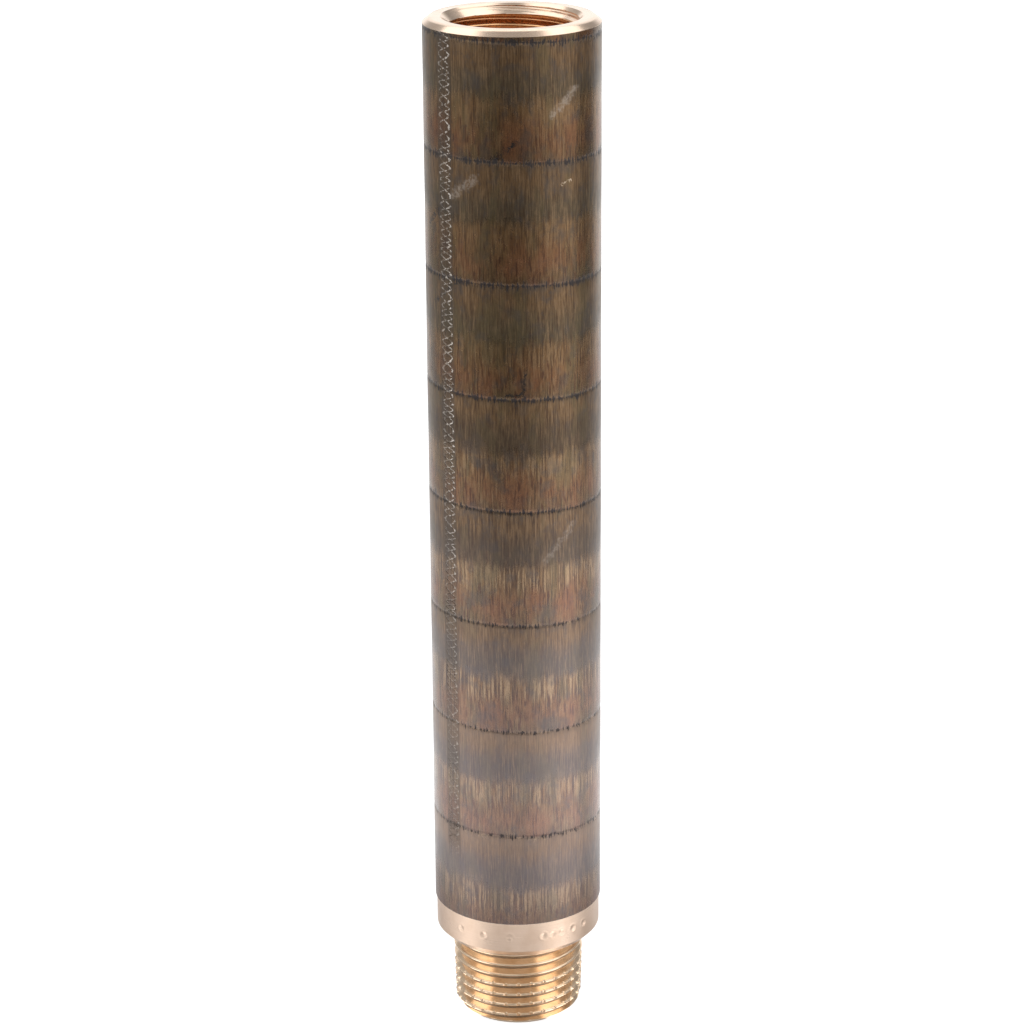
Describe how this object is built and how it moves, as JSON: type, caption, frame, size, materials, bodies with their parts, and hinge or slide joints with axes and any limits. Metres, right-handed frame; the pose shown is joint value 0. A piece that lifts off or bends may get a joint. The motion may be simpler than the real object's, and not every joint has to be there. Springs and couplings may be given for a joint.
{
  "type": "threaded pipe nipple",
  "caption": "Straight male/female pipe nipple: as-cast tube with a threaded socket at one end and a taper-threaded spigot under a turned collar at the other.",
  "frame": {"origin": "centre of the male end face, at the bottom of the part", "axes": "+Z along the bore's axis, from the male end towards the socket; the part is round, so X and Y have no meaning of their own"},
  "size_m": [0.027, 0.027, 0.1637],
  "materials": {
    "cast_skin": "dark as-cast gunmetal skin, fine lengthwise streaks and withdrawal rings",
    "turned_metal": "finely turned, satin",
    "cut_thread": "freshly cut thread, bright"
  },
  "bodies": {
    "root": {"threaded_socket": "cut_thread", "cast_barrel": "cast_skin", "turned_collar": "turned_metal", "threaded_spigot": "cut_thread"}
  },
  "joints": []
}
